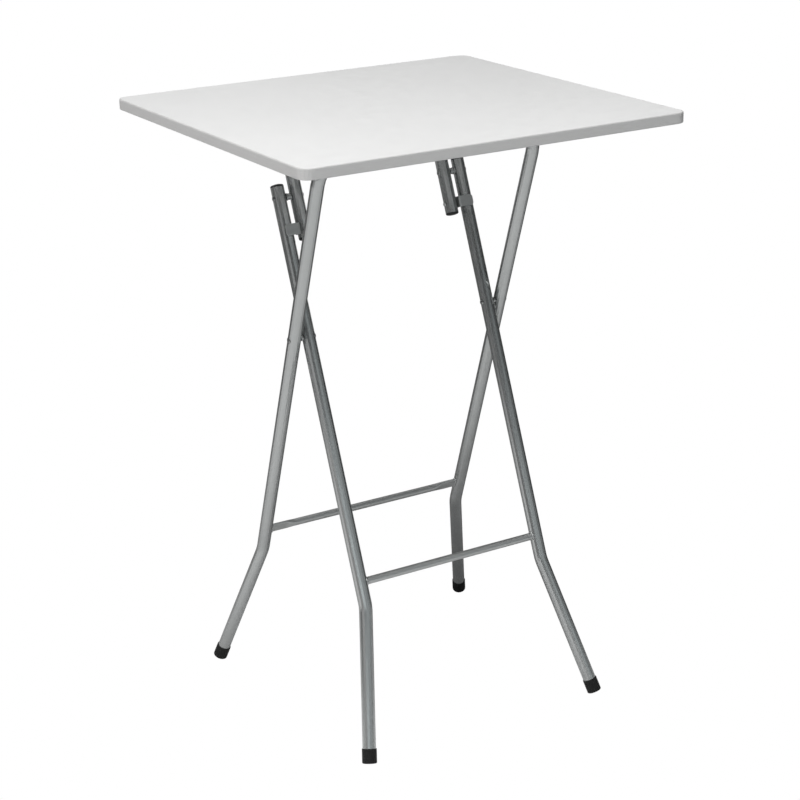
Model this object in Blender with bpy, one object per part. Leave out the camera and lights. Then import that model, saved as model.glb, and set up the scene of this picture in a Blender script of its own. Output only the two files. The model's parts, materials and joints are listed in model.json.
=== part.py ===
"""Folding bar-height table with two crossed tube frames.

Metres, +Z up. The origin lies on the floor under the middle of the top, +X runs along the front
edge and +Y from the front edge to the back edge. The table is modelled standing open.

A bent U-shaped outer frame hangs from a bar under the front half of the top and puts its feet at
the back. Two inner legs cross it and put their feet at the front. A U-shaped arm bracket hangs
from a bar under the back half of the top and is pinned to the upper ends of the inner legs.
"""

from math import cos, pi, sin, tan

import bmesh
import bpy
from mathutils import Matrix, Vector

# Top
TABLE_HEIGHT = 1.100
TOP_WIDTH = 0.750
TOP_DEPTH = 0.700
TOP_THICKNESS = 0.019
TOP_CORNER_RADIUS = 0.022
EDGE_BAND_THICKNESS = 0.002
EDGE_ROUNDING = 0.0018
EDGE_SEAM = 0.0002

# Tubes and their places
TUBE_DIAMETER = 0.024
TUBE_WALL = 0.0015
HINGE_RUNNING_GAP = 0.0005
FRONT_HINGE_Y = -0.1316
BACK_HINGE_Y = 0.1325
BACK_FOOT_Y = 0.2347
FRONT_FOOT_Y = -0.2883
INNER_LEG_X = 0.1895
FRAME_GAP = 0.0045
ARM_GAP = 0.0105
TOP_BEND_RADIUS = 0.065
ARM_BEND_RADIUS = 0.050
KNEE_BEND_RADIUS = 0.080
OUTER_KNEE_HEIGHT = 0.2500
INNER_KNEE_HEIGHT = 0.2545
OUTER_FOOT_SPREAD = 0.0628
INNER_FOOT_SPREAD = 0.0574

# Crossbars: the outer one is pressed flat where it meets the legs, the inner one is coped to them
CROSSBAR_DIAMETER = 0.0136
OUTER_CROSSBAR_RISE = 0.0447
INNER_CROSSBAR_RISE = 0.0414
PINCH_DEPTH = 0.0056
PINCH_FLAT = 0.028
PINCH_TAPER = 0.022

# Arm bracket and the pivot that ties it to the inner legs
ARM_PIVOT_DISTANCE = 0.1356
LEG_TOP_RISE = 0.0196
ARM_TAIL = 0.0764
STOP_DROP = 0.0590
STOP_HEIGHT = 0.020
STOP_REACH = 0.0070
STOP_BACK = 0.0090
STOP_SHEET = 0.0020
STOP_BEND_RADIUS = 0.0022
STOP_TIP_RADIUS = 0.0050

# Plugs and foot caps
PLUG_FLANGE = 0.0048
PLUG_DOME = 0.0031
PLUG_STEM = 0.014
CAP_WALL = 0.0011
CAP_LENGTH = 0.026
CAP_FLOOR = 0.0035
CAP_ROUNDING = 0.0020
CAP_RIM_CHAMFER = 0.0005

# Pivot bolts, sleeves and rivets; the low heads sit on flat spots in the round tubes
BOLT_DIAMETER = 0.006
BOLT_HEAD_DIAMETER = 0.0110
BOLT_HEAD_HEIGHT = 0.0016
FLAT_SPOT_DEPTH = 0.0008
FLAT_SPOT_MARGIN = 0.0004
NUT_DIAMETER = 0.0105
NUT_HEIGHT = 0.0018
NUT_RIM = 0.0004
NUT_CROWN = 0.0011
SPACER_DIAMETER = 0.0106
SLEEVE_DIAMETER = 0.0116
SLEEVE_COLLAR_DIAMETER = 0.0135
SLEEVE_COLLAR_LENGTH = 0.0030
LEG_NUT_DIAMETER = 0.0105
LEG_NUT_HEIGHT = 0.0016
RIVET_DIAMETER = 0.0048
RIVET_HEAD_DIAMETER = 0.0085
RIVET_HEAD_HEIGHT = 0.0020

# Saddles under the top and their screws
SADDLE_SHEET = 0.0015
SADDLE_WIDTH = 0.024
SADDLE_FLANGE = 0.018
SADDLE_BEND_RADIUS = 0.0030
SADDLE_CORNER_RADIUS = 0.0040
SADDLE_PLACE_SHARE = 0.72
SCREW_DIAMETER = 0.0038
SCREW_LENGTH = 0.0130
SCREW_TIP = 0.0030
SCREW_HEAD_DIAMETER = 0.0080
SCREW_HEAD_HEIGHT = 0.0024

# Clearances
SEAT_GAP = 0.0003
HOLE_GAP = 0.0003
CUT_OVERRUN = 0.004

# Facets
TUBE_SIDES = 18
BAR_SIDES = 16
FASTENER_SIDES = 14
BEND_STEPS = 8
SADDLE_STEPS = 4
KNEE_STEPS = 3
PINCH_STEPS = 5
CORNER_STEPS = 6
ROUND_STEPS = 3

# Sizes that follow from the values above
TUBE_RADIUS = TUBE_DIAMETER / 2
BORE_RADIUS = TUBE_RADIUS - TUBE_WALL
BOLT_RADIUS = BOLT_DIAMETER / 2
CROSSBAR_RADIUS = CROSSBAR_DIAMETER / 2
SEAT_REACH = TUBE_RADIUS - FLAT_SPOT_DEPTH + SEAT_GAP
UNDERSIDE_Z = TABLE_HEIGHT - TOP_THICKNESS
HINGE_Z = UNDERSIDE_Z - HINGE_RUNNING_GAP - TUBE_RADIUS
OUTER_LEG_X = INNER_LEG_X + TUBE_DIAMETER + FRAME_GAP
ARM_X = INNER_LEG_X - TUBE_DIAMETER - ARM_GAP

X_AXIS = Vector((1, 0, 0))
Z_AXIS = Vector((0, 0, 1))
SIDES = (("left", -1), ("right", 1))

FINISHES = {
    "laminate": ((0.78, 0.78, 0.77), 0.45, 0.0),
    "edge_band": ((0.40, 0.40, 0.39), 0.50, 0.0),
    "grey_paint": ((0.33, 0.34, 0.335), 0.35, 0.6),
    "zinc": ((0.62, 0.62, 0.60), 0.30, 1.0),
    "black_plastic": ((0.012, 0.012, 0.012), 0.45, 0.0),
    "black_rubber": ((0.018, 0.018, 0.018), 0.75, 0.0),
}


def clear_scene():
    for item in list(bpy.data.objects):
        bpy.data.objects.remove(item, do_unlink=True)


def finish(name):
    material = bpy.data.materials.get(name)
    if material is None:
        colour, roughness, metallic = FINISHES[name]
        material = bpy.data.materials.new(name)
        material.use_nodes = True
        shader = material.node_tree.nodes["Principled BSDF"]
        shader.inputs["Base Color"].default_value = (*colour, 1)
        shader.inputs["Roughness"].default_value = roughness
        shader.inputs["Metallic"].default_value = metallic
    return material


def axis_empty(name, place, parent=None):
    """An empty on a joint's axis, which carries the pieces that turn with it."""
    empty = bpy.data.objects.new(name, None)
    bpy.context.scene.collection.objects.link(empty)
    empty["place"] = place
    empty.location = place
    if parent is not None:
        empty.parent = parent
        empty.location = place - Vector(parent["place"])
    return empty


def make_object(name, shape, material_name, carrier=None, smooth_angle=pi / 6):
    """Turn a bmesh in world coordinates into an object that its carrier holds."""
    bmesh.ops.recalc_face_normals(shape, faces=shape.faces)
    mesh = bpy.data.meshes.new(name)
    shape.to_mesh(mesh)
    shape.free()
    item = bpy.data.objects.new(name, mesh)
    bpy.context.scene.collection.objects.link(item)
    if carrier is not None:
        mesh.transform(Matrix.Translation(-Vector(carrier["place"])))
        item.parent = carrier
    mesh.materials.append(finish(material_name))
    mesh.shade_smooth()
    mesh.set_sharp_from_angle(angle=smooth_angle)
    return item


def cut(item, cutter):
    modifier = item.modifiers.new(cutter.name, "BOOLEAN")
    modifier.operation = "DIFFERENCE"
    modifier.solver = "EXACT"
    modifier.object = cutter


def hole_cutter(name, start, end, radius, sides=FASTENER_SIDES, toward=None):
    """A hidden cylinder from start to end, for cutting a round hole or hollow."""
    axis = (end - start).normalized()
    run = (end - start).length
    shape = revolve([(0, 0), (radius, 0), (radius, run), (0, run)], start, axis, sides, toward)
    cutter = make_object(name, shape, "zinc")
    cutter.hide_render = True
    cutter.display_type = "WIRE"
    return cutter


def bridge(shape, first, second):
    """Join two rings of vertices, or a ring and a single vertex, with faces."""
    if len(first) == 1:
        first, second = second, first
    count = len(first)
    for index in range(count):
        following = (index + 1) % count
        if len(second) == 1:
            shape.faces.new((first[index], first[following], second[0]))
        else:
            shape.faces.new((first[index], first[following], second[following], second[index]))


def revolve(profile, origin, axis, sides=FASTENER_SIDES, toward=None):
    """Turn (radius, distance along the axis) points about an axis through origin.

    A profile that starts and ends on the axis gives a solid, and one that stays off it a ring.
    """
    axis = axis.normalized()
    if toward is None:
        toward = Z_AXIS if abs(axis.z) < cos(pi / 4) else X_AXIS
    toward = (toward - axis * toward.dot(axis)).normalized()
    across = axis.cross(toward)
    shape = bmesh.new()
    rings = []
    for radius, along in profile:
        centre = origin + axis * along
        if radius == 0:
            rings.append([shape.verts.new(centre)])
            continue
        angles = (2 * pi * index / sides for index in range(sides))
        rings.append([shape.verts.new(centre + (toward * cos(a) + across * sin(a)) * radius) for a in angles])
    for first, second in zip(rings, rings[1:]):
        bridge(shape, first, second)
    if profile[0][0] != 0:
        bridge(shape, rings[-1], rings[0])
    return shape


def dome(radius, height, start, steps=ROUND_STEPS):
    """Profile points of a domed head, from its rim at start to its crown on the axis."""
    points = []
    for step in range(steps + 1):
        angle = pi / 2 * step / steps
        points.append((0 if step == steps else radius * cos(angle), start + height * sin(angle)))
    return points


def rounded_path(corners, radii, steps):
    """Points and directions along straight runs whose inner corners are bent to the given radii."""
    stations = [(corners[0], (corners[1] - corners[0]).normalized())]
    for index, (radius, count) in enumerate(zip(radii, steps), start=1):
        before = (corners[index] - corners[index - 1]).normalized()
        after = (corners[index + 1] - corners[index]).normalized()
        turn = before.angle(after)
        axis = before.cross(after).normalized()
        start = corners[index] - before * radius * tan(turn / 2)
        centre = start + axis.cross(before) * radius
        for step in range(count + 1):
            rotation = Matrix.Rotation(turn * step / count, 3, axis)
            stations.append((centre + rotation @ (start - centre), rotation @ before))
    stations.append((corners[-1], (corners[-1] - corners[-2]).normalized()))
    return stations


def section_ring(shape, station, normal, section):
    point, direction = station
    inward = normal.cross(direction)
    return [shape.verts.new(point + normal * a + inward * b) for a, b in section]


def circle_section(radius, sides=TUBE_SIDES):
    angles = (2 * pi * index / sides for index in range(sides))
    return [(radius * cos(angle), radius * sin(angle)) for angle in angles]


def skin(shape, stations, normal, sections):
    """Carry a section along a flat path, and give back its rings."""
    rings = [section_ring(shape, station, normal, section) for station, section in zip(stations, sections)]
    for first, second in zip(rings, rings[1:]):
        bridge(shape, first, second)
    return rings


def solid_sweep(stations, normal, sections):
    shape = bmesh.new()
    rings = skin(shape, stations, normal, sections)
    shape.faces.new(rings[0])
    shape.faces.new(rings[-1])
    return shape


def tube_sweep(stations, normal):
    """The open-ended tube that all three frames are bent from."""
    shape = bmesh.new()
    outer = skin(shape, stations, normal, [circle_section(TUBE_RADIUS)] * len(stations))
    inner = skin(shape, stations, normal, [circle_section(BORE_RADIUS)] * len(stations))
    bridge(shape, outer[0], inner[0])
    bridge(shape, outer[-1], inner[-1])
    return shape


def strap_sweep(stations, normal, width, thickness, tip_radius):
    """A bent strap whose two ends have rounded corners."""
    start, start_way = stations[0]
    end, end_way = stations[-1]
    tips = []
    for step in range(ROUND_STEPS + 1):
        angle = pi / 2 * step / ROUND_STEPS
        tips.append((tip_radius * (1 - cos(angle)), width - 2 * tip_radius * (1 - sin(angle))))
    path = [(start + start_way * along, start_way) for along, _ in tips]
    path += stations[1:-1]
    path += [(end - end_way * along, end_way) for along, _ in reversed(tips)]
    widths = [across for _, across in tips] + [width] * (len(stations) - 2)
    widths += [across for _, across in reversed(tips)]
    sections = []
    for across in widths:
        half, deep = across / 2, thickness / 2
        sections.append([(half, -deep), (half, deep), (-half, deep), (-half, -deep)])
    return solid_sweep(path, normal, sections)


def rounded_rectangle(width, depth, radius, height):
    """Corner-rounded outline, counter-clockwise, at the given height."""
    points = []
    centres = ((1, 1), (-1, 1), (-1, -1), (1, -1))
    for quarter, (side_x, side_y) in enumerate(centres):
        centre = Vector((side_x * (width / 2 - radius), side_y * (depth / 2 - radius), height))
        for step in range(CORNER_STEPS + 1):
            angle = pi / 2 * (quarter + step / CORNER_STEPS)
            points.append(centre + Vector((cos(angle), sin(angle), 0)) * radius)
    return points


class FramePlane:
    """The slanted plane of one frame: x across it and a run down it from its hinge bar."""

    def __init__(self, hinge_y, foot_y):
        self.hinge = Vector((0, hinge_y, HINGE_Z))
        self.down = Vector((0, foot_y - hinge_y, -HINGE_Z)).normalized()
        self.normal = X_AXIS.cross(self.down)

    def at(self, x, run):
        return self.hinge + X_AXIS * x + self.down * run

    def run_at_height(self, height):
        return (HINGE_Z - height) / -self.down.z

    def lower_leg(self, side, leg_x, spread, knee_height):
        """The knee and the direction in which the leg goes on from it to the floor."""
        knee = self.at(side * leg_x, self.run_at_height(knee_height))
        floor = self.at(side * (leg_x + spread), self.run_at_height(0))
        return knee, (floor - knee).normalized(), floor


OUTER_PLANE = FramePlane(FRONT_HINGE_Y, BACK_FOOT_Y)
INNER_PLANE = FramePlane(BACK_HINGE_Y, FRONT_FOOT_Y)


def crossing_run():
    """Run down the outer plane at which the two planes cross."""
    apart = INNER_PLANE.hinge - OUTER_PLANE.hinge
    turned = INNER_PLANE.normal
    return apart.dot(turned) / OUTER_PLANE.down.dot(turned)


CROSSING = OUTER_PLANE.at(0, crossing_run())
ARM_PIVOT = INNER_PLANE.at(0, ARM_PIVOT_DISTANCE)
STOP_RUN = ARM_PIVOT_DISTANCE + STOP_DROP


def cap_profile():
    """Outside and bore of a foot cap, from the middle of its sole to the middle of its floor."""
    radius = TUBE_RADIUS + SEAT_GAP + CAP_WALL
    points = [(0, 0)]
    for step in range(ROUND_STEPS + 1):
        angle = pi / 2 * step / ROUND_STEPS
        along = CAP_ROUNDING * (1 - cos(angle))
        points.append((radius - CAP_ROUNDING + CAP_ROUNDING * sin(angle), along))
    points.append((radius, CAP_LENGTH - CAP_RIM_CHAMFER))
    points.append((radius - CAP_RIM_CHAMFER, CAP_LENGTH))
    points.append((TUBE_RADIUS + SEAT_GAP, CAP_LENGTH))
    points.append((TUBE_RADIUS + SEAT_GAP, CAP_FLOOR))
    points.append((0, CAP_FLOOR))
    return points


def sole_centre(floor_point, direction):
    """Place on the leg's axis that lets the lowest rim of its cap touch the floor."""
    upright = -direction.z
    lean = (1 - upright ** 2) ** 0.5
    height = max(radius * lean - along * upright for radius, along in cap_profile())
    return floor_point - direction * (height / upright)


def leg_end(sole, direction):
    return sole - direction * (CAP_FLOOR + SEAT_GAP)


def foot_cap(name, sole, direction, carrier):
    lowest = -Z_AXIS - direction * direction.dot(-Z_AXIS)
    shape = revolve(cap_profile(), sole, -direction, TUBE_SIDES, toward=lowest)
    return make_object(name, shape, "black_rubber", carrier)


def end_plug(name, tube_end, outward, carrier):
    """Black plug in an open tube end: a domed flange outside and a stem inside."""
    stem_radius = BORE_RADIUS - SEAT_GAP
    rim = SEAT_GAP + PLUG_FLANGE - PLUG_DOME
    profile = [(0, -PLUG_STEM), (stem_radius, -PLUG_STEM), (stem_radius, SEAT_GAP), (TUBE_RADIUS, SEAT_GAP)]
    profile += dome(TUBE_RADIUS, PLUG_DOME, rim)
    return make_object(name, revolve(profile, tube_end, outward, TUBE_SIDES), "black_plastic", carrier)


def make_top():
    board_width = TOP_WIDTH - 2 * (EDGE_BAND_THICKNESS + EDGE_SEAM)
    board_depth = TOP_DEPTH - 2 * (EDGE_BAND_THICKNESS + EDGE_SEAM)
    board_radius = TOP_CORNER_RADIUS - EDGE_BAND_THICKNESS - EDGE_SEAM
    shape = bmesh.new()
    rings = []
    for height in (UNDERSIDE_Z, TABLE_HEIGHT):
        outline = rounded_rectangle(board_width, board_depth, board_radius, height)
        rings.append([shape.verts.new(point) for point in outline])
    bridge(shape, *rings)
    shape.faces.new(rings[0])
    shape.faces.new(rings[1])
    return make_object("top_board", shape, "laminate")


def band_profile():
    """(Inset, height) points round the edge band's section."""
    points = [(EDGE_BAND_THICKNESS, UNDERSIDE_Z)]
    for step in range(ROUND_STEPS + 1):
        angle = pi / 2 * step / ROUND_STEPS
        points.append((EDGE_ROUNDING * (1 - sin(angle)), UNDERSIDE_Z + EDGE_ROUNDING * (1 - cos(angle))))
    for step in range(ROUND_STEPS + 1):
        angle = pi / 2 * step / ROUND_STEPS
        points.append((EDGE_ROUNDING * (1 - cos(angle)), TABLE_HEIGHT - EDGE_ROUNDING * (1 - sin(angle))))
    points.append((EDGE_BAND_THICKNESS, TABLE_HEIGHT))
    return points


def make_edge_band():
    shape = bmesh.new()
    rings = []
    for inset, height in band_profile():
        outline = rounded_rectangle(TOP_WIDTH - 2 * inset, TOP_DEPTH - 2 * inset,
                                    TOP_CORNER_RADIUS - inset, height)
        rings.append([shape.verts.new(point) for point in outline])
    for first, second in zip(rings, rings[1:] + rings[:1]):
        bridge(shape, first, second)
    return make_object("edge_band", shape, "edge_band")


def saddle_path(x, bar):
    """Centre line of a saddle strap round a hinge bar, from flange to flange."""
    centre = Vector((x, bar.y, bar.z))
    wall = TUBE_RADIUS + SEAT_GAP + SADDLE_SHEET / 2
    flange_z = UNDERSIDE_Z - SEAT_GAP - SADDLE_SHEET / 2 - bar.z
    corners = [(-wall - SADDLE_FLANGE, flange_z), (-wall, flange_z), (-wall, -wall),
               (wall, -wall), (wall, flange_z), (wall + SADDLE_FLANGE, flange_z)]
    corners = [centre + Vector((0, y, z)) for y, z in corners]
    return rounded_path(corners, [SADDLE_BEND_RADIUS, wall, wall, SADDLE_BEND_RADIUS],
                        [ROUND_STEPS, SADDLE_STEPS, SADDLE_STEPS, ROUND_STEPS])


def screw(name, x, y):
    """Pan-head screw up through a saddle flange into the board."""
    seat = Vector((x, y, UNDERSIDE_Z - SADDLE_SHEET - 2 * SEAT_GAP))
    radius = SCREW_DIAMETER / 2
    head = SCREW_HEAD_DIAMETER / 2
    profile = [(0, SCREW_LENGTH), (radius, SCREW_LENGTH - SCREW_TIP), (radius, 0), (head, 0)]
    profile += [(around, -along) for around, along in dome(head, SCREW_HEAD_HEIGHT, 0)[1:]]
    return make_object(name, revolve(profile, seat, Z_AXIS), "zinc")


def make_saddles(board):
    """Two saddles for each hinge bar, each held by two screws in pilot holes."""
    bars = (("front", OUTER_PLANE.hinge, OUTER_LEG_X - TOP_BEND_RADIUS),
            ("back", INNER_PLANE.hinge, ARM_X - ARM_BEND_RADIUS))
    hole_radius = SCREW_DIAMETER / 2 + HOLE_GAP
    for bar_name, bar, straight in bars:
        for side_name, side in SIDES:
            name = f"{bar_name}_saddle_{side_name}"
            x = side * straight * SADDLE_PLACE_SHARE
            path = saddle_path(x, bar)
            shape = strap_sweep(path, X_AXIS, SADDLE_WIDTH, SADDLE_SHEET, SADDLE_CORNER_RADIUS)
            saddle = make_object(name, shape, "zinc")
            reach = TUBE_RADIUS + SEAT_GAP + SADDLE_SHEET + SADDLE_FLANGE / 2
            for end_name, end_side in (("front", -1), ("back", 1)):
                y = bar.y + end_side * reach
                screw(f"{name}_screw_{end_name}", x, y)
                low = Vector((x, y, UNDERSIDE_Z - SADDLE_SHEET - CUT_OVERRUN))
                high = Vector((x, y, UNDERSIDE_Z + SCREW_LENGTH + HOLE_GAP))
                pilot = hole_cutter(f"{name}_pilot_{end_name}", low, high, hole_radius)
                cut(saddle, pilot)
                cut(board, pilot)


def pivot_hole(name, place, near_x, far_x, radius):
    """Cutter along X through every tube wall between two distances from the middle."""
    start = Vector((near_x, place.y, place.z))
    end = Vector((far_x, place.y, place.z))
    return hole_cutter(name, start, end, radius + HOLE_GAP)


def flat_spot(name, place, seat_x, outward, diameter):
    """Cutter along X that leaves a flat seat for a head on a round tube."""
    start = Vector((seat_x - outward * SEAT_GAP, place.y, place.z))
    end = start + X_AXIS * outward * (FLAT_SPOT_DEPTH + CUT_OVERRUN)
    return hole_cutter(name, start, end, diameter / 2 + FLAT_SPOT_MARGIN)


def bar_section(depth, sides=BAR_SIDES):
    """Section of the crossbar's tube pressed to the given depth, which keeps its girth."""
    half_flat = pi * (CROSSBAR_DIAMETER - depth) / 4
    points = []
    for index in range(sides):
        angle = 2 * pi * (index + 0.5) / sides
        rise = half_flat if sin(angle) > 0 else -half_flat
        points.append((depth / 2 * cos(angle), depth / 2 * sin(angle) + rise))
    return points


def make_outer_crossbar(carrier):
    """Bar pressed flat at both ends, so that it lies against the legs' sides."""
    half = OUTER_LEG_X - TUBE_RADIUS - SEAT_GAP
    run = OUTER_PLANE.run_at_height(OUTER_KNEE_HEIGHT + OUTER_CROSSBAR_RISE)
    offsets = [0] + [PINCH_FLAT + PINCH_TAPER * step / PINCH_STEPS for step in range(PINCH_STEPS + 1)]
    places = [-half + offset for offset in offsets] + [half - offset for offset in reversed(offsets)]
    stations = [(OUTER_PLANE.at(x, run), X_AXIS) for x in places]
    sections = []
    for x in places:
        share = min(max((half - abs(x) - PINCH_FLAT) / PINCH_TAPER, 0), 1)
        share = share * share * (3 - 2 * share)
        sections.append(bar_section(PINCH_DEPTH + (CROSSBAR_DIAMETER - PINCH_DEPTH) * share))
    shape = solid_sweep(stations, OUTER_PLANE.normal, sections)
    return make_object("outer_crossbar", shape, "grey_paint", carrier)


def make_inner_crossbar(carrier):
    """Round bar whose ends are coped to the round legs."""
    run = INNER_PLANE.run_at_height(INNER_KNEE_HEIGHT + INNER_CROSSBAR_RISE)
    stations = [(INNER_PLANE.at(side * INNER_LEG_X, run), X_AXIS) for _, side in SIDES]
    sections = [bar_section(CROSSBAR_DIAMETER)] * len(stations)
    bar = make_object("inner_crossbar", solid_sweep(stations, INNER_PLANE.normal, sections),
                      "grey_paint", carrier)
    for side_name, side in SIDES:
        reach = CROSSBAR_RADIUS + CUT_OVERRUN
        start = INNER_PLANE.at(side * INNER_LEG_X, run - reach)
        end = INNER_PLANE.at(side * INNER_LEG_X, run + reach)
        cope = hole_cutter(f"inner_crossbar_cope_{side_name}", start, end, TUBE_RADIUS + SEAT_GAP,
                           TUBE_SIDES, INNER_PLANE.normal)
        cut(bar, cope)
    return bar


def make_outer_frame(carrier):
    knee_l, down_l, floor_l = OUTER_PLANE.lower_leg(-1, OUTER_LEG_X, OUTER_FOOT_SPREAD, OUTER_KNEE_HEIGHT)
    knee_r, down_r, floor_r = OUTER_PLANE.lower_leg(1, OUTER_LEG_X, OUTER_FOOT_SPREAD, OUTER_KNEE_HEIGHT)
    sole_l = sole_centre(floor_l, down_l)
    sole_r = sole_centre(floor_r, down_r)
    corners = [leg_end(sole_l, down_l), knee_l, OUTER_PLANE.at(-OUTER_LEG_X, 0),
               OUTER_PLANE.at(OUTER_LEG_X, 0), knee_r, leg_end(sole_r, down_r)]
    radii = [KNEE_BEND_RADIUS, TOP_BEND_RADIUS, TOP_BEND_RADIUS, KNEE_BEND_RADIUS]
    path = rounded_path(corners, radii, [KNEE_STEPS, BEND_STEPS, BEND_STEPS, KNEE_STEPS])
    tube = make_object("outer_frame_tube", tube_sweep(path, OUTER_PLANE.normal), "grey_paint", carrier)
    make_outer_crossbar(carrier)
    foot_cap("foot_cap_back_left", sole_l, down_l, carrier)
    foot_cap("foot_cap_back_right", sole_r, down_r, carrier)
    return tube


def make_inner_leg(side_name, side, carrier):
    knee, down, floor = INNER_PLANE.lower_leg(side, INNER_LEG_X, INNER_FOOT_SPREAD, INNER_KNEE_HEIGHT)
    sole = sole_centre(floor, down)
    top = INNER_PLANE.at(side * INNER_LEG_X, ARM_PIVOT_DISTANCE - LEG_TOP_RISE)
    path = rounded_path([top, knee, leg_end(sole, down)], [KNEE_BEND_RADIUS], [KNEE_STEPS])
    leg = make_object(f"inner_leg_{side_name}", tube_sweep(path, INNER_PLANE.normal), "grey_paint", carrier)
    end_plug(f"leg_top_plug_{side_name}", top, -INNER_PLANE.down, carrier)
    foot_cap(f"foot_cap_front_{side_name}", sole, down, carrier)
    return leg


def make_arm_bracket(carrier):
    tail = ARM_PIVOT_DISTANCE + ARM_TAIL
    ends = [INNER_PLANE.at(side * ARM_X, tail) for _, side in SIDES]
    corners = [ends[0], INNER_PLANE.at(-ARM_X, 0), INNER_PLANE.at(ARM_X, 0), ends[1]]
    path = rounded_path(corners, [ARM_BEND_RADIUS] * 2, [BEND_STEPS] * 2)
    bracket = make_object("arm_bracket_tube", tube_sweep(path, INNER_PLANE.normal), "grey_paint", carrier)
    for (side_name, _), end in zip(SIDES, ends):
        end_plug(f"arm_end_plug_{side_name}", end, INNER_PLANE.down, carrier)
    return bracket


def turned(name, profile, place, x, outward, material_name, carrier):
    """A turned piece on an axis along X, with its profile measured outward from x."""
    origin = Vector((x, place.y, place.z))
    return make_object(name, revolve(profile, origin, X_AXIS * outward), material_name, carrier)


def domed_bolt(head_diameter, head_height, shank_radius, shank_length):
    """Profile of a domed head outside its seat and a shank that runs back through it."""
    head = dome(head_diameter / 2, head_height, 0)
    return [(0, -shank_length), (shank_radius, -shank_length), (shank_radius, 0)] + head


def make_crossing_pivot(side_name, side, outer_tube, inner_leg, carrier):
    """Bolt, spacer and cap nut where an inner leg crosses the outer frame."""
    head_seat = OUTER_LEG_X + SEAT_REACH
    nut_seat = INNER_LEG_X - SEAT_REACH
    shank_end = nut_seat - NUT_HEIGHT + NUT_CROWN + SEAT_GAP
    bolt = domed_bolt(BOLT_HEAD_DIAMETER, BOLT_HEAD_HEIGHT, BOLT_RADIUS, head_seat - shank_end)
    turned(f"crossing_bolt_{side_name}", bolt, CROSSING, side * head_seat, side, "zinc", carrier)

    bore = BOLT_RADIUS + HOLE_GAP
    spacer_run = FRAME_GAP - 2 * SEAT_GAP
    rim = SPACER_DIAMETER / 2
    spacer = [(bore, 0), (rim, 0), (rim, spacer_run), (bore, spacer_run)]
    spacer_x = INNER_LEG_X + TUBE_RADIUS + SEAT_GAP
    turned(f"crossing_spacer_{side_name}", spacer, CROSSING, side * spacer_x, side, "zinc", carrier)

    blind = NUT_HEIGHT - NUT_CROWN
    nut = [(0, blind), (bore, blind), (bore, 0), (NUT_DIAMETER / 2, 0)]
    nut += dome(NUT_DIAMETER / 2, NUT_HEIGHT - NUT_RIM, NUT_RIM)
    turned(f"crossing_nut_{side_name}", nut, CROSSING, side * nut_seat, -side, "zinc", carrier)

    near = side * (INNER_LEG_X - TUBE_RADIUS - CUT_OVERRUN)
    far = side * (OUTER_LEG_X + TUBE_RADIUS + CUT_OVERRUN)
    hole = pivot_hole(f"crossing_hole_{side_name}", CROSSING, near, far, BOLT_RADIUS)
    cut(outer_tube, hole)
    cut(inner_leg, hole)
    cut(outer_tube, flat_spot(f"crossing_seat_{side_name}", CROSSING, side * head_seat, side,
                              BOLT_HEAD_DIAMETER))
    cut(inner_leg, flat_spot(f"crossing_nut_seat_{side_name}", CROSSING, side * nut_seat, -side,
                             NUT_DIAMETER))


def make_arm_pivot(side_name, side, inner_leg, bracket, arm_carrier, leg_carrier):
    """Bolt and sleeve on the arm, and the barrel nut in the leg that they line up with."""
    head_seat = ARM_X - SEAT_REACH
    leg_face = INNER_LEG_X - TUBE_RADIUS
    sleeve_start = ARM_X + TUBE_RADIUS + SEAT_GAP
    sleeve_end = leg_face - SEAT_GAP
    bolt = domed_bolt(BOLT_HEAD_DIAMETER, BOLT_HEAD_HEIGHT, BOLT_RADIUS, sleeve_end - head_seat)
    turned(f"arm_pivot_bolt_{side_name}", bolt, ARM_PIVOT, side * head_seat, -side, "zinc", arm_carrier)

    bore = BOLT_RADIUS + HOLE_GAP
    run = sleeve_end - sleeve_start
    collar = run - SLEEVE_COLLAR_LENGTH
    sleeve = [(bore, 0), (SLEEVE_DIAMETER / 2, 0), (SLEEVE_DIAMETER / 2, collar),
              (SLEEVE_COLLAR_DIAMETER / 2, collar), (SLEEVE_COLLAR_DIAMETER / 2, run), (bore, run)]
    turned(f"arm_pivot_sleeve_{side_name}", sleeve, ARM_PIVOT, side * sleeve_start, side, "zinc", arm_carrier)

    nut_seat = INNER_LEG_X + SEAT_REACH
    barrel = nut_seat - leg_face - SEAT_GAP
    nut = domed_bolt(LEG_NUT_DIAMETER, LEG_NUT_HEIGHT, BOLT_RADIUS, barrel)
    turned(f"arm_pivot_nut_{side_name}", nut, ARM_PIVOT, side * nut_seat, side, "zinc", leg_carrier)

    near = side * (ARM_X - TUBE_RADIUS - CUT_OVERRUN)
    far = side * (INNER_LEG_X + TUBE_RADIUS + CUT_OVERRUN)
    hole = pivot_hole(f"arm_pivot_hole_{side_name}", ARM_PIVOT, near, far, BOLT_RADIUS)
    cut(bracket, hole)
    cut(inner_leg, hole)
    cut(bracket, flat_spot(f"arm_pivot_seat_{side_name}", ARM_PIVOT, side * head_seat, -side,
                           BOLT_HEAD_DIAMETER))
    cut(inner_leg, flat_spot(f"arm_nut_seat_{side_name}", ARM_PIVOT, side * nut_seat, side,
                             LEG_NUT_DIAMETER))


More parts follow.
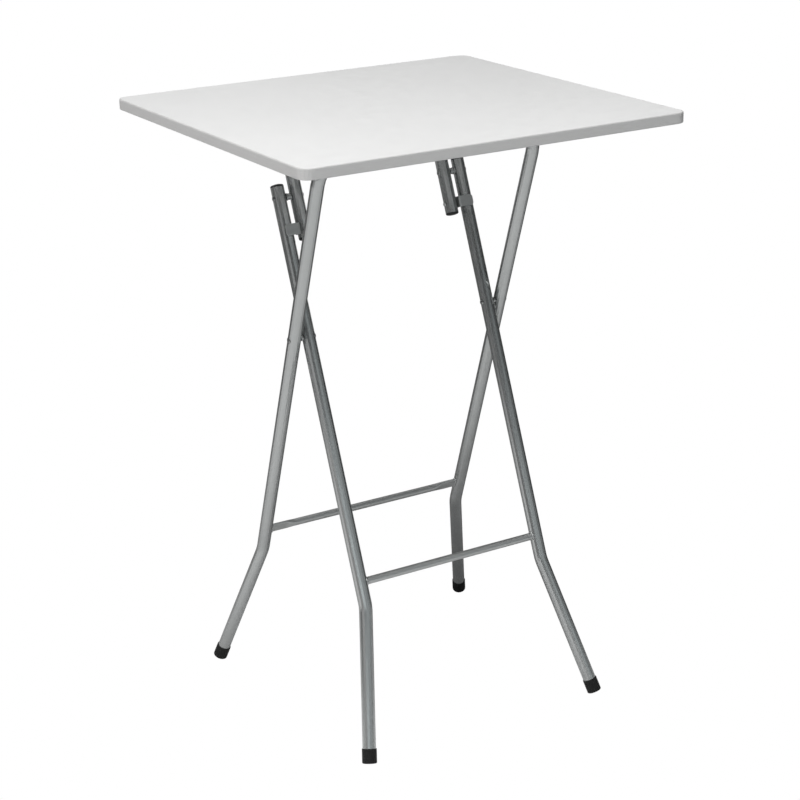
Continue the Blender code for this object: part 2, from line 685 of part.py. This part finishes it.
def make_stop_plate(side_name, side, bracket, carrier):
    """Bent plate riveted to the arm, with a flange in front of the inner leg."""
    middle = INNER_PLANE.at(0, STOP_RUN)
    rear = -INNER_PLANE.normal if INNER_PLANE.normal.y < 0 else INNER_PLANE.normal
    side_x = ARM_X + TUBE_RADIUS + SEAT_GAP + STOP_SHEET / 2
    front = TUBE_RADIUS + SEAT_GAP + STOP_SHEET / 2
    tip_x = INNER_LEG_X + STOP_REACH
    corners = [middle + X_AXIS * side * side_x + rear * STOP_BACK,
               middle + X_AXIS * side * side_x - rear * front,
               middle + X_AXIS * side * tip_x - rear * front]
    path = rounded_path(corners, [STOP_BEND_RADIUS], [ROUND_STEPS])
    shape = strap_sweep(path, INNER_PLANE.down, STOP_HEIGHT, STOP_SHEET, STOP_TIP_RADIUS)
    plate = make_object(f"stop_plate_{side_name}", shape, "grey_paint", carrier)

    rivet_radius = RIVET_DIAMETER / 2
    head_seat = ARM_X - TUBE_RADIUS - SEAT_GAP
    tail_seat = ARM_X + TUBE_RADIUS + SEAT_GAP + STOP_SHEET + SEAT_GAP
    grip = tail_seat - head_seat
    head = RIVET_HEAD_DIAMETER / 2
    tail = [(around, -along) for around, along in reversed(dome(head, RIVET_HEAD_HEIGHT, grip))]
    rivet = tail + [(rivet_radius, -grip), (rivet_radius, 0)] + dome(head, RIVET_HEAD_HEIGHT, 0)
    turned(f"stop_rivet_{side_name}", rivet, middle, side * head_seat, -side, "grey_paint", carrier)

    near = side * (head_seat - CUT_OVERRUN)
    far = side * (tail_seat + CUT_OVERRUN)
    hole = pivot_hole(f"stop_rivet_hole_{side_name}", middle, near, far, rivet_radius)
    cut(bracket, hole)
    cut(plate, hole)


def build_table():
    clear_scene()
    fold_axis = axis_empty("fold_axis", OUTER_PLANE.hinge)
    crossing_axis = axis_empty("crossing_axis", CROSSING, fold_axis)
    arm_axis = axis_empty("arm_axis", INNER_PLANE.hinge)

    board = make_top()
    make_edge_band()
    make_saddles(board)
    outer_tube = make_outer_frame(fold_axis)
    bracket = make_arm_bracket(arm_axis)
    make_inner_crossbar(crossing_axis)
    for side_name, side in SIDES:
        leg = make_inner_leg(side_name, side, crossing_axis)
        make_crossing_pivot(side_name, side, outer_tube, leg, fold_axis)
        make_arm_pivot(side_name, side, leg, bracket, arm_axis, crossing_axis)
        make_stop_plate(side_name, side, bracket, arm_axis)


build_table()
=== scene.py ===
"""Looks of the folding bar-height table: finishes, weld beads, fastener drives, stage and lights."""

import json
from math import cos, pi, radians, sin, sqrt

import bmesh
import bpy
from mathutils import Matrix, Vector


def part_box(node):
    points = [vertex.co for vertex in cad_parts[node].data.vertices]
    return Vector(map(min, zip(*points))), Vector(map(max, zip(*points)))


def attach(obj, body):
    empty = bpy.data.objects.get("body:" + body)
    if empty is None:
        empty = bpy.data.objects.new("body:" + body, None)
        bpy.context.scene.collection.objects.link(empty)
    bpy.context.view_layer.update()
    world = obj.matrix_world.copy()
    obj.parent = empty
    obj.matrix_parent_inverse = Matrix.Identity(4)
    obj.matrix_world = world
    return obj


# Camera that was fitted to the photograph, whose frame is square
CAMERA_PLACE = Vector((-1.7703, -2.9381, 1.7790))
CAMERA_YAW = radians(31.1021)
CAMERA_PITCH = radians(19.7097)
CAMERA_ROLL = radians(-0.9876)
FOCAL_PIXELS = 1974.71
FRAME_PIXELS = 800
SENSOR_WIDTH = 36.0
CLIP_END = 60

# Floor, which fades along the view from a front tone to a back tone: a painted light falloff, pale in front
# and dim at the back
FLOOR_RADIUS = 14
FLOOR_SEGMENTS = 96
FLOOR_FALLOFF_REACH = (-0.25, 0.85)
FLOOR_PAINTED_FALLOFF_TONES = (0.88, 0.16)

# Soft round shade on the floor under the table, as a share of the floor's tone
SHADE_CENTRE = (0.18, 0.12, 0)
SHADE_REACH = (0.10, 0.35)
SHADE_SHARE = 0.62

# White ground that the camera sees, and the dim room that reflections see in its place
WHITE = (1, 1, 1, 1)
ROOM_COLOUR = (0.040, 0.041, 0.042, 1)

# Softboxes: name, azimuth, distance, height, size, radiance and the height they aim at
SOFTBOXES = (
    ("overhead_softbox", -40, 1.4, 3.7, (2.6, 2.6), 5.05, 0.7),
    ("key_softbox", -45, 2.4, 3.0, (1.4, 1.4), 0.3, 0.9),
    ("back_softbox", 150, 1.6, 4.0, (2.4, 2.4), 0.85, 0.6),
    ("upper_right_softbox", 50, 3.0, 2.9, (2.0, 1.0), 0.6, 0.5),
)

# Ring of panels: azimuth, width, radiance in the low row and in the high row
PANELS = (
    (-100, 1.0, 0, 6.9),
    (-80, 1.0, 0.53, 0),
    (-60, 0.9, 0.07, 0),
    (-31, 0.7, 1.13, 0),
    (0, 0.8, 0.38, 0.44),
    (15, 0.8, 0.44, 0.21),
    (30, 0.8, 0.31, 0),
    (45, 0.8, 0.27, 0.17),
    (128, 1.2, 0.55, 0),
    (165, 1.2, 0.55, 0),
    (200, 1.2, 0.55, 0.55),
)
PANEL_DISTANCE = 3.2

# Rows of the ring: name, height of the centre, own height and the height they aim at
PANEL_ROWS = (("low", 0.75, 1.3, 0.75), ("high", 1.95, 1.1, 1.0))

# Panels between these azimuths are a little cooler
COOL_SIDE = (-40, 60)
COOL_WHITE = (0.92, 1.0, 1.02)
NEUTRAL_WHITE = (1, 1, 1)

# Span that most values of a noise texture fall in
NOISE_SPAN = (0.3, 0.7)

# Laminate; each bump is a depth and a strength
LAMINATE_TONES = ((0.81, 0.81, 0.805, 1), (0.835, 0.835, 0.83, 1))
LAMINATE_ROUGHNESS = (0.36, 0.44)
LAMINATE_BUMP = (0.00008, 0.5)

# Edge band, with a lighter strip along both of its edges: worn patches plus a painted highlight of the
# rounded edges
BAND_TONES = ((0.563, 0.558, 0.553, 1), (0.617, 0.611, 0.606, 1))
BAND_ROUGHNESS = (0.40, 0.50)
BAND_BUMP = (0.00005, 0.4)
BAND_LINE_STRETCH = (1.0, 1.0, 40.0)
# Lighter tone of the worn edge strips, partly a painted highlight of the rounded edges
WORN_AND_HIGHLIGHT_TONE = (0.66, 0.655, 0.65, 1)
WORN_AND_HIGHLIGHT_WIDTH = 0.0027
WORN_AND_HIGHLIGHT_FULL_WIDTH = WORN_AND_HIGHLIGHT_WIDTH / 3
WORN_AND_HIGHLIGHT_SPAN = (0.35, 0.6)
WORN_AND_HIGHLIGHT_SHARE = 0.5
RUB_ROUGHNESS_SHARE = 0.75

# Grey paint of the tubes, and the duller one of the stop plates and of the crossbars
PAINT_TONES = ((0.500, 0.511, 0.508, 1), (0.520, 0.531, 0.528, 1))
PAINT_CLOUD_TONE = (0.27, 0.28, 0.28, 1)
PAINT_CLOUD_SPAN = (0.35, 0.75)
PAINT_CLOUD_SHARE = 0.12
PAINT_FLAKE_SPAN = (0.35, 0.65)
PAINT_METALLIC = 0.85
PAINT_BUMP = (0.00002, 0.06)
TUBE_ROUGHNESS = (0.21, 0.25)
PLATE_ROUGHNESS = (0.45, 0.52)
BAR_ROUGHNESS = (0.36, 0.42)

# Zinc plating
ZINC_TONES = ((0.30, 0.31, 0.31, 1), (0.52, 0.53, 0.53, 1))
ZINC_ROUGHNESS = (0.18, 0.32)
ZINC_BUMP = (0.00005, 0.4)

# Black plastic
PLASTIC_TONES = ((0.008, 0.008, 0.008, 1), (0.014, 0.014, 0.014, 1))
PLASTIC_ROUGHNESS = 0.42
PLASTIC_BUMP = (0.00006, 0.4)

# Black rubber, and the grey dust on it near the floor
RUBBER_TONES = ((0.007, 0.007, 0.007, 1), (0.020, 0.0195, 0.019, 1))
RUBBER_ROUGHNESS = 0.6
RUBBER_SPECULAR = 0.36
RUBBER_BUMP = (0.0001, 0.5)
DUST_HEIGHT = 0.012
DUST_SPAN = (0.4, 0.65)
DUST_SHARE = 0.6

# Faces that meet at a wider angle than this stay sharp
SMOOTH_ANGLE = radians(30)

# Weld beads where the crossbars meet the legs
LEG_REACH = 0.0123
BEAD_RADIUS = 0.0015
BEAD_STAND_OFF = 0.0002
BEAD_RIPPLES = 15
BEAD_WAVES = 3
BEAD_RIPPLE_SHARE = 0.16
BEAD_STEPS = 90
BEAD_SIDES = 10
END_SLICE = 0.003

# Cross recess of the pan-head screws
RECESS_REACH = 0.0021
RECESS_HALF_WIDTH = 0.00042
RECESS_DEPTH = 0.0015
RECESS_FLOOR_SHARE = 0.45
RECESS_OVERRUN = 0.0006

# Broken edges of the sheet-metal pieces
SHEET_EDGE = 0.00025
SHEET_EDGE_STEPS = 2
SHEET_EDGE_ANGLE = radians(40)

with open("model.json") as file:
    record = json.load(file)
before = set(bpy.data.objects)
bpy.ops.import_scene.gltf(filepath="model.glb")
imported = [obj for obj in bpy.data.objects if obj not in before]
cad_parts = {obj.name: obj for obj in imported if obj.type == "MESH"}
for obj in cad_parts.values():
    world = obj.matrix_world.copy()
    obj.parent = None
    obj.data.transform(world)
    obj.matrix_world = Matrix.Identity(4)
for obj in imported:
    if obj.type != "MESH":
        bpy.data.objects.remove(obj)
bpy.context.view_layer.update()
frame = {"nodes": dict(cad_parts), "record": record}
NODES = frame["nodes"]


def add_object(name, data):
    item = bpy.data.objects.new(name, data)
    bpy.context.scene.collection.objects.link(item)
    return item


def make_camera():
    data = bpy.data.cameras.new("camera")
    data.sensor_width = SENSOR_WIDTH
    data.lens = SENSOR_WIDTH * FOCAL_PIXELS / FRAME_PIXELS
    data.clip_end = CLIP_END
    right = Vector((cos(CAMERA_YAW), -sin(CAMERA_YAW), 0))
    level = cos(CAMERA_PITCH)
    ahead = Vector((sin(CAMERA_YAW) * level, cos(CAMERA_YAW) * level, -sin(CAMERA_PITCH)))
    up = right.cross(ahead)
    rolled_right = right * cos(CAMERA_ROLL) + up * sin(CAMERA_ROLL)
    rolled_up = up * cos(CAMERA_ROLL) - right * sin(CAMERA_ROLL)
    turn = Matrix((rolled_right, rolled_up, -ahead)).transposed()
    camera = add_object("camera", data)
    camera.matrix_world = Matrix.Translation(CAMERA_PLACE) @ turn.to_4x4()
    bpy.context.scene.camera = camera


class Graph:
    """Short calls for building the node tree of a material or of the world."""

    def __init__(self, owner, output="ShaderNodeOutputMaterial"):
        owner.use_nodes = True
        self.tree = owner.node_tree
        self.tree.nodes.clear()
        self.output = self.add(output)

    def add(self, kind, inputs=None, **values):
        node = self.tree.nodes.new(kind)
        for name, value in values.items():
            setattr(node, name, value)
        for name, value in (inputs or {}).items():
            self.feed(node, name, value)
        return node

    def feed(self, node, name, value):
        if isinstance(value, bpy.types.NodeSocket):
            self.tree.links.new(value, node.inputs[name])
        else:
            node.inputs[name].default_value = value

    def place(self):
        return self.add("ShaderNodeTexCoord").outputs["Object"]

    def height(self):
        return self.add("ShaderNodeSeparateXYZ", {"Vector": self.place()}).outputs["Z"]

    def noise(self, scale, detail=2.0, roughness=0.5, stretch=None):
        vector = self.place()
        if stretch is not None:
            vector = self.add("ShaderNodeMapping", {"Vector": vector, "Scale": stretch}).outputs["Vector"]
        settings = {"Vector": vector, "Scale": scale, "Detail": detail, "Roughness": roughness}
        return self.add("ShaderNodeTexNoise", settings).outputs["Fac"]

    def spread(self, value, low, high, new_low, new_high):
        """A value between two limits, mapped to between two others."""
        settings = {"Value": value, "From Min": low, "From Max": high, "To Min": new_low, "To Max": new_high}
        return self.add("ShaderNodeMapRange", settings).outputs["Result"]

    def share(self, value, span=NOISE_SPAN, most=1):
        """A value over its span, as a share from none to the most."""
        return self.spread(value, *span, 0, most)

    def maths(self, operation, *values):
        return self.add("ShaderNodeMath", dict(enumerate(values)), operation=operation).outputs[0]

    def blend(self, share, first, second):
        node = self.add("ShaderNodeMix", data_type="RGBA")
        self.feed(node, 0, share)
        self.feed(node, 6, first)
        self.feed(node, 7, second)
        return node.outputs[2]

    def bump(self, height, depth, strength):
        settings = {"Height": height, "Distance": depth, "Strength": strength}
        return self.add("ShaderNodeBump", settings).outputs["Normal"]

    def surface(self, tone, roughness, normal, metallic=0.0, specular=0.5):
        settings = {"Base Color": tone, "Roughness": roughness, "Normal": normal,
                    "Metallic": metallic, "Specular IOR Level": specular}
        shader = self.add("ShaderNodeBsdfPrincipled", settings)
        self.feed(self.output, "Surface", shader.outputs["BSDF"])

    def camera_choice(self, for_others, for_camera):
        """One shader for what the camera sees itself, another for reflections and light."""
        camera_ray = self.add("ShaderNodeLightPath").outputs["Is Camera Ray"]
        shaders = {0: camera_ray, 1: for_others.outputs[0], 2: for_camera.outputs[0]}
        choice = self.add("ShaderNodeMixShader", shaders)
        self.feed(self.output, "Surface", choice.outputs[0])


def new_material(name):
    material = bpy.data.materials.new(name + "_finish")
    return Graph(material), material


def laminate_material():
    """Light grey melamine with the faint pearl grain of its press plate."""
    graph, material = new_material("laminate")
    cloud = graph.noise(scale=3.0, detail=3.0)
    grain = graph.noise(scale=900.0, roughness=0.6)
    tone = graph.blend(graph.share(cloud), *LAMINATE_TONES)
    rough = graph.spread(graph.noise(scale=40.0, detail=3.0), *NOISE_SPAN, *LAMINATE_ROUGHNESS)
    graph.surface(tone, rough, graph.bump(grain, *LAMINATE_BUMP))
    return material


def edge_band_material():
    """Grey plastic band with fine lengthwise drawing lines, worn smooth along both edges, where a lighter
    tone also paints the highlight of the rounded edges.
    """
    graph, material = new_material("edge_band")
    low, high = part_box("edge_band")
    reach = graph.maths("ABSOLUTE", graph.maths("SUBTRACT", graph.height(), (low[2] + high[2]) / 2))
    half = (high[2] - low[2]) / 2
    # Mask of worn patches along both edges, which also carries their painted highlight
    edge = graph.share(reach, (half - WORN_AND_HIGHLIGHT_WIDTH, half - WORN_AND_HIGHLIGHT_FULL_WIDTH))
    patches = graph.share(graph.noise(scale=35.0, detail=3.0), WORN_AND_HIGHLIGHT_SPAN)
    worn_and_highlit = graph.maths("MULTIPLY", edge, patches)
    lines = graph.noise(scale=60.0, detail=4.0, roughness=0.6, stretch=BAND_LINE_STRETCH)
    tone = graph.blend(graph.share(lines), *BAND_TONES)
    # Lighter edge tone: wear plus a painted highlight of the rounded edges
    tone = graph.blend(graph.share(worn_and_highlit, (0, 1), WORN_AND_HIGHLIGHT_SHARE), tone, WORN_AND_HIGHLIGHT_TONE)
    rough = graph.spread(graph.noise(scale=25.0, detail=3.0), *NOISE_SPAN, *BAND_ROUGHNESS)
    rough = graph.maths("MULTIPLY", rough, graph.spread(worn_and_highlit, 0, 1, 1, RUB_ROUGHNESS_SHARE))
    graph.surface(tone, rough, graph.bump(lines, *BAND_BUMP))
    return material


def grey_paint_material(name="grey_paint", roughness=TUBE_ROUGHNESS):
    """Silver-grey powder coat: fine orange peel over metallic flakes."""
    graph, material = new_material(name)
    peel = graph.noise(scale=420.0)
    flake = graph.noise(scale=2600.0, detail=1.0)
    cloud = graph.noise(scale=9.0, detail=3.0)
    tone = graph.blend(graph.share(flake, PAINT_FLAKE_SPAN), *PAINT_TONES)
    tone = graph.blend(graph.share(cloud, PAINT_CLOUD_SPAN, PAINT_CLOUD_SHARE), tone, PAINT_CLOUD_TONE)
    rough = graph.spread(graph.noise(scale=30.0, detail=3.0), *NOISE_SPAN, *roughness)
    graph.surface(tone, rough, graph.bump(peel, *PAINT_BUMP), metallic=PAINT_METALLIC)
    return material


def zinc_material():
    """Zinc plating in spots, the dark ones smoother and the pale ones duller."""
    graph, material = new_material("zinc")
    spots = graph.noise(scale=260.0, detail=3.0, roughness=0.6)
    tone = graph.blend(graph.share(spots), *ZINC_TONES)
    rough = graph.spread(spots, *NOISE_SPAN, *ZINC_ROUGHNESS)
    graph.surface(tone, rough, graph.bump(spots, *ZINC_BUMP), metallic=1.0)
    return material


def black_plastic_material():
    """Black plugs of the tube ends, with a fine moulded grain."""
    graph, material = new_material("black_plastic")
    grain = graph.noise(scale=1100.0, roughness=0.6)
    tone = graph.blend(graph.noise(scale=60.0, detail=3.0), *PLASTIC_TONES)
    graph.surface(tone, PLASTIC_ROUGHNESS, graph.bump(grain, *PLASTIC_BUMP))
    return material


def black_rubber_material():
    """Foot caps: matte black, greyer where they rub on the floor."""
    graph, material = new_material("black_rubber")
    grain = graph.noise(scale=800.0, detail=3.0, roughness=0.6)
    dust = graph.spread(graph.height(), 0, DUST_HEIGHT, 1, 0)
    patches = graph.share(graph.noise(scale=150.0, detail=3.0), DUST_SPAN, DUST_SHARE)
    tone = graph.blend(graph.maths("MULTIPLY", dust, patches), *RUBBER_TONES)
    graph.surface(tone, RUBBER_ROUGHNESS, graph.bump(grain, *RUBBER_BUMP), specular=RUBBER_SPECULAR)
    return material


def dress_nodes():
    """Give each CAD node its finish, and return the finishes by slot."""
    makers = {
        "laminate": laminate_material,
        "edge_band": edge_band_material,
        "grey_paint": grey_paint_material,
        "zinc": zinc_material,
        "black_plastic": black_plastic_material,
        "black_rubber": black_rubber_material,
    }
    materials = {slot: make() for slot, make in makers.items()}
    plate_paint = grey_paint_material("plate_paint", PLATE_ROUGHNESS)
    bar_paint = grey_paint_material("bar_paint", BAR_ROUGHNESS)
    duller = {"stop_plate_left": plate_paint, "stop_plate_right": plate_paint,
              "inner_crossbar": bar_paint, "outer_crossbar": bar_paint}
    for part in frame["record"]["subparts"]:
        mesh = NODES[part["node"]].data
        mesh.materials.clear()
        mesh.materials.append(duller.get(part["node"], materials[part["material_slot"]]))
        mesh.shade_smooth()
        mesh.set_sharp_from_angle(angle=SMOOTH_ANGLE)
    return materials


def new_piece(name, shape, material):
    bmesh.ops.recalc_face_normals(shape, faces=shape.faces)
    mesh = bpy.data.meshes.new(name)
    shape.to_mesh(mesh)
    shape.free()
    mesh.materials.append(material)
    return add_object(name, mesh)


def bridge(shape, first, second):
    """Faces between two rings of as many vertices."""
    for index in range(len(first)):
        following = (index + 1) % len(first)
        shape.faces.new((first[index], first[following], second[following], second[index]))


def round_ended_edge(share, radius, half_flat):
    """Place and outward direction at a share of the girth of a section with two round ends."""
    half_girth = pi * radius + 2 * half_flat
    half, along = divmod(share * 2 * half_girth, half_girth)
    sign = -1 if half else 1
    if along < 2 * half_flat:
        return (sign * radius, sign * (along - half_flat)), (sign, 0)
    angle = (along - 2 * half_flat) / radius
    across, rise = sign * cos(angle), sign * sin(angle)
    return (radius * across, radius * rise + sign * half_flat), (across, rise)


def end_section(bar, side, normal, down):
    """Reach, centre, radius and half the flat length of a crossbar's section at one end."""
    points = [bar.matrix_world @ vertex.co for vertex in bar.data.vertices]
    end_x = max(point.x * side for point in points)
    end = [point for point in points if point.x * side > end_x - END_SLICE]
    across = [point.dot(normal) for point in end]
    along = [point.dot(down) for point in end]
    centre = normal * (max(across) + min(across)) / 2 + down * (max(along) + min(along)) / 2
    radius = (max(across) - min(across)) / 2
    half_flat = max((max(along) - min(along)) / 2 - radius, 0)
    return end_x, centre, radius, half_flat


def weld_bead(name, bar, side, down, coped, body, material):
    """A rippled fillet weld round the end of a crossbar, which may be coped to its round leg."""
    normal = Vector((1, 0, 0)).cross(down)
    end_x, centre, radius, half_flat = end_section(bar, side, normal, down)
    shape = bmesh.new()
    rings = []
    for step in range(BEAD_STEPS):
        (off, rise), (out_across, out_along) = round_ended_edge(step / BEAD_STEPS, radius, half_flat)
        inset = sqrt(LEG_REACH ** 2 - off ** 2) - sqrt(LEG_REACH ** 2 - radius ** 2) if coped else 0
        outward = normal * out_across + down * out_along
        middle = centre + normal * off + down * rise + outward * BEAD_STAND_OFF
        middle.x = side * (end_x - inset)
        angle = 2 * pi * step / BEAD_STEPS
        ripple = BEAD_RIPPLE_SHARE * cos(BEAD_RIPPLES * angle)
        wave = BEAD_RIPPLE_SHARE * sin(BEAD_WAVES * angle + side) / 2
        swell = 1 + ripple + wave
        ring = []
        for index in range(BEAD_SIDES):
            turn = 2 * pi * index / BEAD_SIDES
            offset = outward * cos(turn) + Vector((side, 0, 0)) * sin(turn)
            ring.append(shape.verts.new(middle + offset * BEAD_RADIUS * swell))
        rings.append(ring)
    for first, second in zip(rings, rings[1:] + rings[:1]):
        bridge(shape, first, second)
    bead = new_piece(name, shape, material)
    bead.data.shade_smooth()
    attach(bead, body)


def make_weld_beads(material):
    places = {joint["name"]: Vector(joint["pos_m"]) for joint in frame["record"]["behaviour"]["joints"]}
    bars = (("outer_crossbar", "fold_hinge", False, "outer_frame"),
            ("inner_crossbar", "arm_hinge", True, "inner_frame"))
    for node, hinge, coped, body in bars:
        down = (places["crossing_pivot"] - places[hinge]).normalized()
        for side_name, side in (("left", -1), ("right", 1)):
            weld_bead(f"{node}_weld_{side_name}", NODES[node], side, down, coped, body, material)


def cross_outline(reach, half_width):
    quarter = [(reach, -half_width), (reach, half_width), (half_width, half_width)]
    outline = []
    for turn in range(4):
        across, along = cos(turn * pi / 2), sin(turn * pi / 2)
        outline += [(x * across - y * along, x * along + y * across) for x, y in quarter]
    return outline


def cut_screw_recess(node, material):
    """Cross recess in the head of a screw that was driven upward, cut by a hidden tapered cross."""
    low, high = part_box(node)
    centre = Vector(((low[0] + high[0]) / 2, (low[1] + high[1]) / 2, low[2]))
    shape = bmesh.new()
    rings = []
    for height, share in ((-RECESS_OVERRUN, 1), (RECESS_DEPTH, RECESS_FLOOR_SHARE)):
        outline = cross_outline(RECESS_REACH * share, RECESS_HALF_WIDTH)
        rings.append([shape.verts.new(centre + Vector((x, y, height))) for x, y in outline])
    bridge(shape, *rings)
    for ring in rings:
        shape.faces.new(ring)
    cutter = new_piece(f"{node}_recess", shape, material)
    cutter.hide_render = True
    cutter.display_type = "WIRE"
    modifier = NODES[node].modifiers.new("recess", "BOOLEAN")
    modifier.operation = "DIFFERENCE"
    modifier.solver = "EXACT"
    modifier.object = cutter


def break_sheet_edges(node):
    modifier = NODES[node].modifiers.new("broken_edges", "BEVEL")
    modifier.width = SHEET_EDGE
    modifier.segments = SHEET_EDGE_STEPS
    modifier.limit_method = "ANGLE"
    modifier.angle_limit = SHEET_EDGE_ANGLE


def detail_nodes(recess_material):
    for node in NODES:
        if "_screw_" in node:
            cut_screw_recess(node, recess_material)
        elif node.startswith("stop_plate") or node.endswith(("saddle_left", "saddle_right")):
            break_sheet_edges(node)


def make_stage():
    """Floor that is pure white to the camera; to everything else a painted light falloff, pale in front and
    dim at the back, with a painted shade under the table.
    """
    graph, material = new_material("floor")
    place = graph.place()
    away = (sin(CAMERA_YAW), cos(CAMERA_YAW), 0)
    depth = graph.add("ShaderNodeVectorMath", {0: place, 1: away}, operation="DOT_PRODUCT")
    reach = graph.add("ShaderNodeVectorMath", {0: place, 1: SHADE_CENTRE}, operation="DISTANCE")
    # Painted light falloff from front to back, and painted shade under the table, both in the floor's colour
    painted_falloff = graph.spread(depth.outputs["Value"], *FLOOR_FALLOFF_REACH, *FLOOR_PAINTED_FALLOFF_TONES)
    shade = graph.spread(reach.outputs["Value"], *SHADE_REACH, SHADE_SHARE, 1)
    pale = graph.add("ShaderNodeBsdfDiffuse", {"Color": graph.maths("MULTIPLY", painted_falloff, shade)})
    white = graph.add("ShaderNodeEmission", {"Color": WHITE, "Strength": 1.0})
    graph.camera_choice(pale, white)
    shape = bmesh.new()
    bmesh.ops.create_circle(shape, cap_ends=True, radius=FLOOR_RADIUS, segments=FLOOR_SEGMENTS)
    mesh = bpy.data.meshes.new("floor")
    shape.to_mesh(mesh)
    shape.free()
    mesh.materials.append(material)
    floor = add_object("floor", mesh)


def make_world():
    """World that is white to the camera and a dim room to everything else."""
    world = bpy.data.worlds.new("studio")
    bpy.context.scene.world = world
    graph = Graph(world, "ShaderNodeOutputWorld")
    dim = graph.add("ShaderNodeBackground", {"Color": ROOM_COLOUR})
    white = graph.add("ShaderNodeBackground", {"Color": WHITE})
    graph.camera_choice(dim, white)


def softbox(name, azimuth, distance, height, size, radiance, aim_height, colour=NEUTRAL_WHITE):
    """A soft light at an azimuth round the table, by its radiance instead of its power."""
    angle = radians(azimuth)
    place = Vector((sin(angle) * distance, -cos(angle) * distance, height))
    data = bpy.data.lights.new(name, "AREA")
    data.shape = "RECTANGLE"
    data.size, data.size_y = size
    data.energy = radiance * pi * size[0] * size[1]
    data.color = colour
    light = add_object(name, data)
    light.location = place
    light.rotation_mode = "QUATERNION"
    light.rotation_quaternion = (Vector((0, 0, aim_height)) - place).to_track_quat("-Z", "Y")
    light.visible_camera = False


def make_lights():
    for settings in SOFTBOXES:
        softbox(*settings)
    for azimuth, width, *radiances in PANELS:
        colour = COOL_WHITE if COOL_SIDE[0] < azimuth < COOL_SIDE[1] else NEUTRAL_WHITE
        for (row, height, tall, aim_height), radiance in zip(PANEL_ROWS, radiances):
            if radiance:
                name = f"{row}_panel_{azimuth}"
                softbox(name, azimuth, PANEL_DISTANCE, height, (width, tall), radiance, aim_height, colour)


make_camera()
make_stage()
make_world()
make_lights()
finishes = dress_nodes()
detail_nodes(finishes["zinc"])
make_weld_beads(finishes["grey_paint"])
bpy.context.scene.view_settings.view_transform = "Standard"
